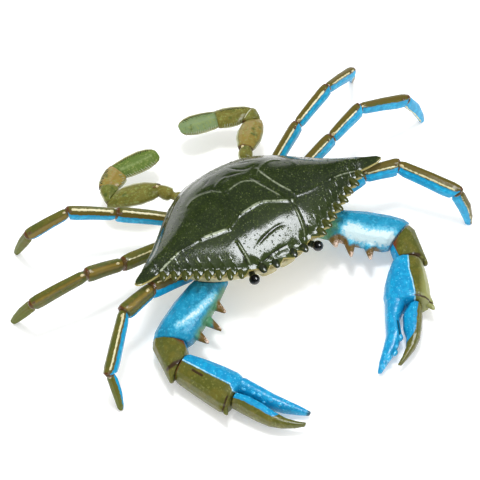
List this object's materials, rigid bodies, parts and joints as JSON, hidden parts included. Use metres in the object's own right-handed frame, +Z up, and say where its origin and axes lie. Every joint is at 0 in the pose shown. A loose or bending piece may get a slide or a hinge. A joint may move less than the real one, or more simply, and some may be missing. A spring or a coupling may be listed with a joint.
{
  "type": "toy blue crab figure",
  "caption": "Hand-painted moulded toy figure of a blue crab, standing on its walking legs with claws folded forward and swimming paddles raised behind.",
  "frame": {"origin": "middle of the figure's bounding box, on the floor plane that its feet stand on", "axes": "+X towards the crab's left side, -Y the way it faces, +Z up"},
  "size_m": [0.189, 0.1416, 0.0342],
  "materials": {
    "shell_green": "moulded vinyl, brushed dark olive green paint with a fine yellow-green fleck under gloss varnish",
    "limb_olive": "moulded vinyl, olive brown paint under gloss varnish, with a bright blue painted lower side",
    "claw_blue": "moulded vinyl, bright blue paint with pale and teal blended areas under gloss varnish",
    "swim_green": "moulded vinyl, olive to leaf green blended paint under satin varnish",
    "belly_cream": "moulded vinyl, cream paint under satin varnish",
    "eye_black": "moulded vinyl, black enamel paint, high gloss"
  },
  "bodies": {
    "root": {"carapace": "shell_green", "thorax": "belly_cream", "abdomen": "belly_cream", "left_maxilliped": "belly_cream", "left_eyestalk": "shell_green", "left_eye": "eye_black", "left_claw_merus": "claw_blue", "left_claw_carpus": "limb_olive", "left_claw_palm": "claw_blue", "left_claw_dactyl": "limb_olive", "right_maxilliped": "belly_cream", "right_eyestalk": "shell_green", "right_eye": "eye_black", "right_claw_merus": "claw_blue", "right_claw_carpus": "limb_olive", "right_claw_palm": "claw_blue", "right_claw_dactyl": "limb_olive", "left_leg1_merus": "limb_olive", "left_leg1_carpus": "limb_olive", "left_leg1_propodus": "limb_olive", "left_leg1_dactyl": "limb_olive", "left_leg2_merus": "limb_olive", "left_leg2_carpus": "limb_olive", "left_leg2_propodus": "limb_olive", "left_leg2_dactyl": "limb_olive", "left_leg3_merus": "limb_olive", "left_leg3_carpus": "limb_olive", "left_leg3_propodus": "limb_olive", "left_leg3_dactyl": "limb_olive", "right_leg1_merus": "limb_olive", "right_leg1_carpus": "limb_olive", "right_leg1_propodus": "limb_olive", "right_leg1_dactyl": "limb_olive", "right_leg2_merus": "limb_olive", "right_leg2_carpus": "limb_olive", "right_leg2_propodus": "limb_olive", "right_leg2_dactyl": "limb_olive", "right_leg3_merus": "limb_olive", "right_leg3_carpus": "limb_olive", "right_leg3_propodus": "limb_olive", "right_leg3_dactyl": "limb_olive", "left_swim_basis": "swim_green", "left_swim_merus": "swim_green", "left_swim_carpus": "swim_green", "left_swim_propodus": "swim_green", "left_swim_paddle": "swim_green", "right_swim_basis": "swim_green", "right_swim_merus": "swim_green", "right_swim_carpus": "swim_green", "right_swim_propodus": "swim_green", "right_swim_paddle": "swim_green"}
  },
  "joints": []
}
